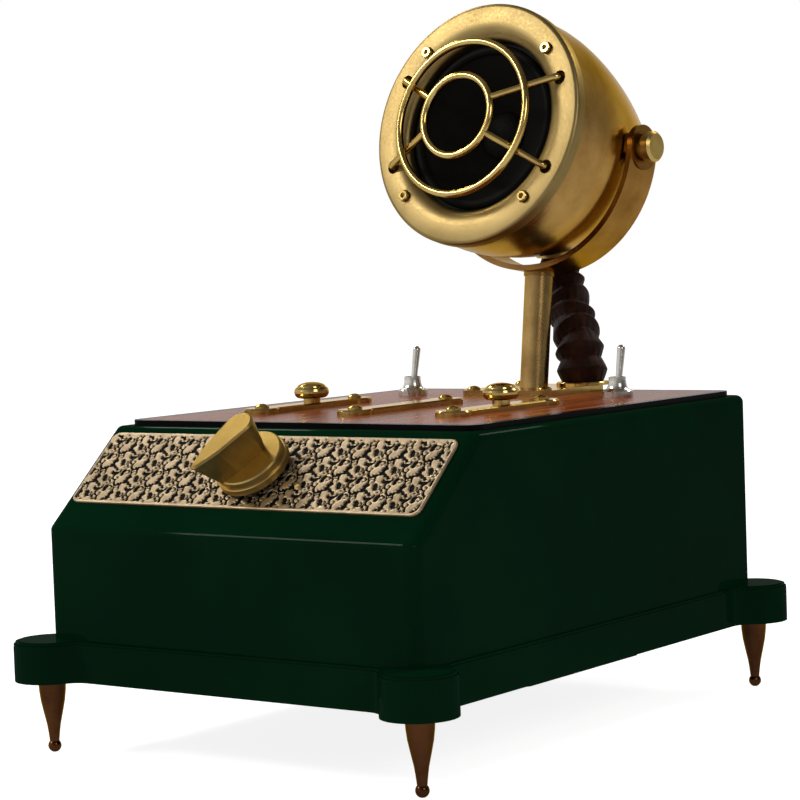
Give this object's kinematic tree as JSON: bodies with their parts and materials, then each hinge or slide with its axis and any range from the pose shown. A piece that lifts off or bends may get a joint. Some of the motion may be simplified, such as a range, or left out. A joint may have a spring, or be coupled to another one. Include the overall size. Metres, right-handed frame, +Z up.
{
  "type": "record player",
  "caption": "Tabletop sound machine: lacquered wedge case on turned legs, with switches, buttons, a dial knob and a tilting horn-shaped loudspeaker head on a post.",
  "frame": {"origin": "on the floor, under the middle of the case", "axes": "+Z up, -Y the front with the dial knob, +X to the right seen from the front"},
  "size_m": [0.2358, 0.3557, 0.3357],
  "materials": {
    "green_lacquer": "dark green gloss lacquer on wood",
    "board_wood": "red-brown wood under gloss varnish",
    "brass_polished": "polished and lacquered",
    "brass_satin": "satin, brushed round",
    "rose_metal": "rose-gold scrolls over a black ground",
    "nickel": "nickel plate",
    "steel": "zinc plated",
    "black_steel": "black paint",
    "black_plastic": "matte black",
    "black_rubber": "matte black",
    "black_paper": "coated paper pulp",
    "brown_leather": "ruched leather cloth",
    "circuit_board": "green solder mask",
    "battery_wrap": "shrink wrap"
  },
  "bodies": {
    "case": {"case_shell": "green_lacquer", "plinth": "green_lacquer", "top_board": "board_wood", "bottom_cover": "black_steel", "bottom_cover_screws": "steel", "leg_front_left": "brass_polished", "leg_front_right": "brass_polished", "leg_rear_left": "brass_polished", "leg_rear_right": "brass_polished", "ornament_plate": "rose_metal", "index_stud": "brass_polished", "pot_body": "steel", "pot_nut": "steel", "toggle_left_body": "black_plastic", "toggle_left_nut": "nickel", "toggle_right_body": "black_plastic", "toggle_right_nut": "nickel", "bar_left": "brass_polished", "bar_middle": "brass_polished", "bar_right": "brass_polished", "bar_screws": "brass_polished", "button_left_switch": "black_plastic", "button_right_switch": "black_plastic", "base_plate": "brass_polished", "base_plate_screws": "brass_polished", "post": "brass_satin", "post_nut": "steel", "yoke": "brass_satin", "yoke_screw": "steel", "clamp_washers": "black_plastic", "hose_gland": "brass_polished", "amplifier_board": "circuit_board", "amplifier_standoffs": "brass_satin", "battery_pack": "battery_wrap", "rear_panel": "brass_satin", "rear_panel_screws": "brass_polished", "power_socket": "black_plastic", "audio_socket": "black_plastic"},
    "dial": {"control_knob": "brass_satin", "knob_grub_screw": "steel", "pot_shaft": "steel"},
    "left lever": {"toggle_left_lever": "nickel"},
    "right lever": {"toggle_right_lever": "nickel"},
    "left button": {"button_left": "brass_polished"},
    "right button": {"button_right": "brass_polished"},
    "head": {"head_shell": "brass_satin", "front_ring": "brass_satin", "front_ring_screws": "brass_polished", "wire_guard": "brass_polished", "driver_basket": "black_steel", "driver_gasket": "black_rubber", "driver_surround": "black_rubber", "driver_cone": "black_paper", "driver_magnet": "steel", "hose": "brown_leather", "hose_ferrule": "brass_satin"},
    "left clamp": {"clamp_knob_left": "brass_satin"},
    "right clamp": {"clamp_knob_right": "brass_satin"}
  },
  "joints": [
    {"name": "dial_turn", "type": "hinge", "parent": "case", "child": "dial", "pos_m": [0, -0.11138, 0.12495], "axis": [0, -0.6635, 0.7482], "range_deg": [-124, 176]},
    {"name": "left_lever_swing", "type": "hinge", "parent": "case", "child": "left lever", "pos_m": [-0.0605, 0.0858, 0.1464], "axis": [1, 0, 0], "range_deg": [0, 24]},
    {"name": "right_lever_swing", "type": "hinge", "parent": "case", "child": "right lever", "pos_m": [0.0605, 0.0858, 0.1464], "axis": [1, 0, 0], "range_deg": [0, 24]},
    {"name": "left_button_press", "type": "slide", "parent": "case", "child": "left button", "axis": [0, 0, -1], "range_m": [0, 0.0015], "stiffness_N_per_m": 400, "springref_m": -0.0015},
    {"name": "right_button_press", "type": "slide", "parent": "case", "child": "right button", "axis": [0, 0, -1], "range_m": [0, 0.0015], "stiffness_N_per_m": 400, "springref_m": -0.0015},
    {"name": "head_tilt", "type": "hinge", "parent": "case", "child": "head", "pos_m": [0, 0.12144, 0.26336], "axis": [-0.999, 0.0449, -0.0063], "range_deg": [-8, 14], "deforming": ["hose"]},
    {"name": "left_clamp_turn", "type": "hinge", "parent": "case", "child": "left clamp", "pos_m": [0, 0.12144, 0.26336], "axis": [-0.999, 0.0449, -0.0063], "range_deg": [0, 270]},
    {"name": "right_clamp_turn", "type": "hinge", "parent": "case", "child": "right clamp", "pos_m": [0, 0.12144, 0.26336], "axis": [0.999, -0.0449, 0.0063], "range_deg": [0, 270]}
  ]
}
